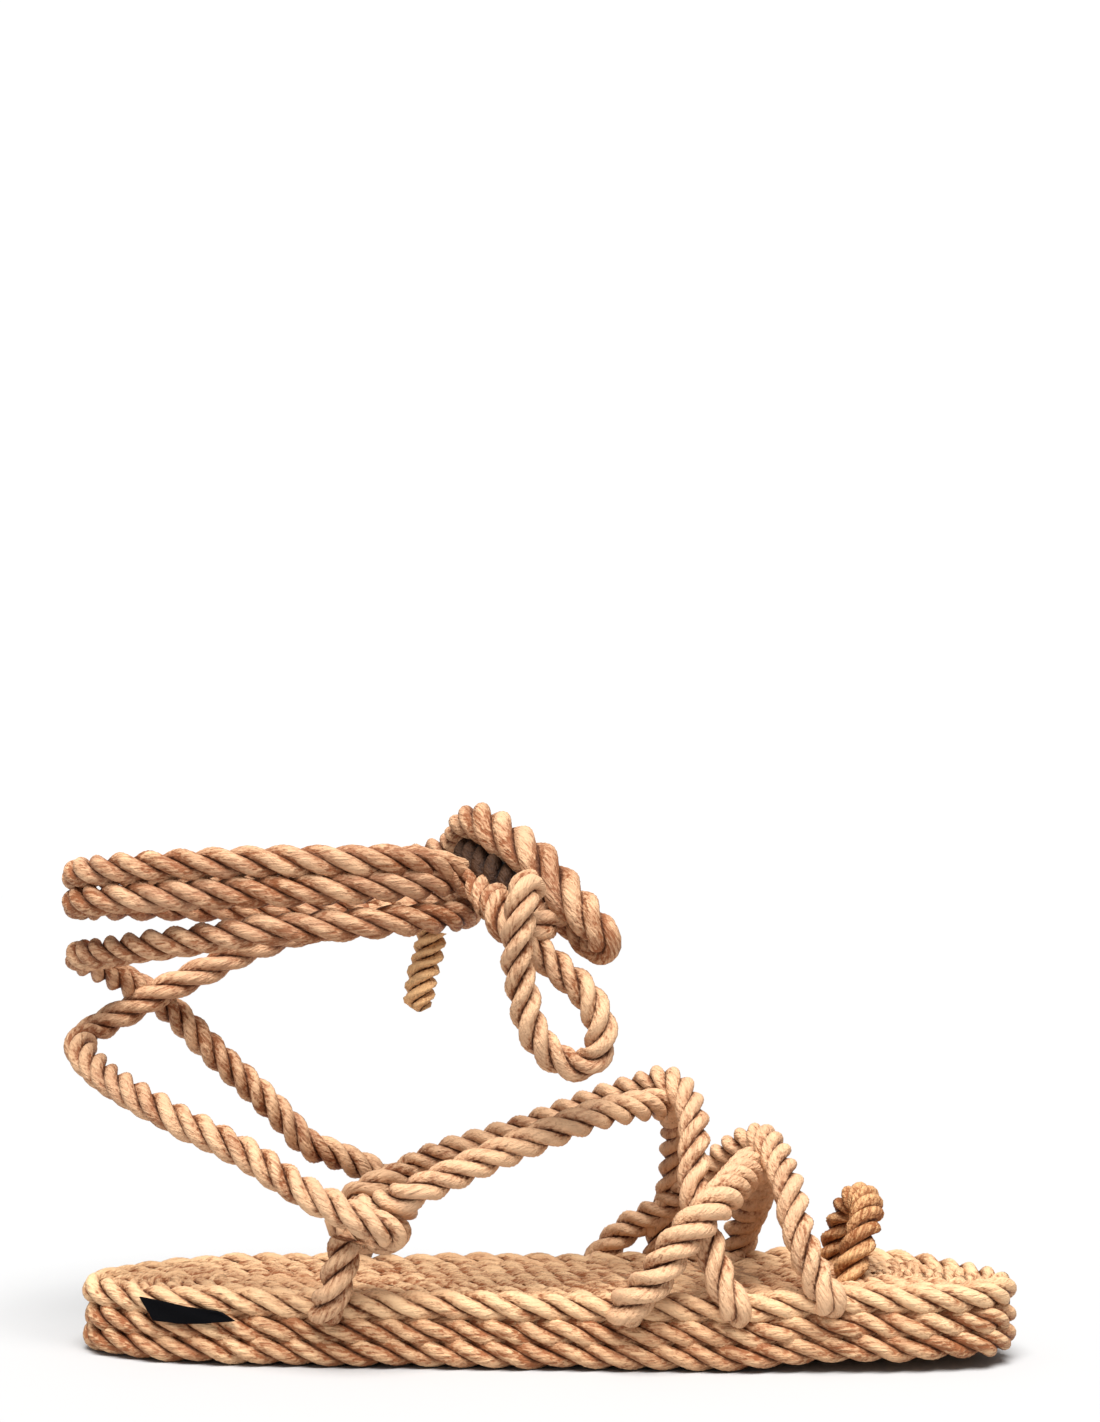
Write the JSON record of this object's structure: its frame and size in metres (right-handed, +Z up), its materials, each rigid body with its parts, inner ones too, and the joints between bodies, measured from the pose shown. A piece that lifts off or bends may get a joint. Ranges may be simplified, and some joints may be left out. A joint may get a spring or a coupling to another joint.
{
  "type": "rope sandal",
  "caption": "Ankle-laced sandal with a sole of coiled rope layers, crossed rope straps, a toe loop and rope laces wound round the ankle and tied in a bow.",
  "frame": {"origin": "on the floor, at the middle of the footprint of the sandal without its bow", "axes": "+X towards the toe, +Z up, -Y towards the wearer's inner side (a left sandal)"},
  "size_m": [0.2612, 0.1058, 0.1479],
  "materials": {
    "outsole_rope_layer": "matte twisted rope",
    "midsole_rope_layer": "matte twisted rope",
    "footbed_rope_layer": "matte twisted rope",
    "instep_straps": "matte twisted rope",
    "ankle_wraps": "matte twisted rope",
    "heel_loop_near": "matte twisted rope",
    "heel_loop_far": "matte twisted rope",
    "toe_loop": "matte twisted rope",
    "bow_knot": "matte twisted rope",
    "bow_front_loop": "matte twisted rope",
    "bow_hanging_loop": "matte twisted rope",
    "lace_end": "matte twisted rope",
    "label_tab": "matt woven tape"
  },
  "bodies": {
    "root": {"outsole_rope_layer": "outsole_rope_layer", "midsole_rope_layer": "midsole_rope_layer", "footbed_rope_layer": "footbed_rope_layer", "instep_straps": "instep_straps", "ankle_wraps": "ankle_wraps", "heel_loop_near": "heel_loop_near", "heel_loop_far": "heel_loop_far", "toe_loop": "toe_loop", "bow_knot": "bow_knot", "bow_front_loop": "bow_front_loop", "bow_hanging_loop": "bow_hanging_loop", "lace_end": "lace_end", "label_tab": "label_tab"}
  },
  "joints": []
}
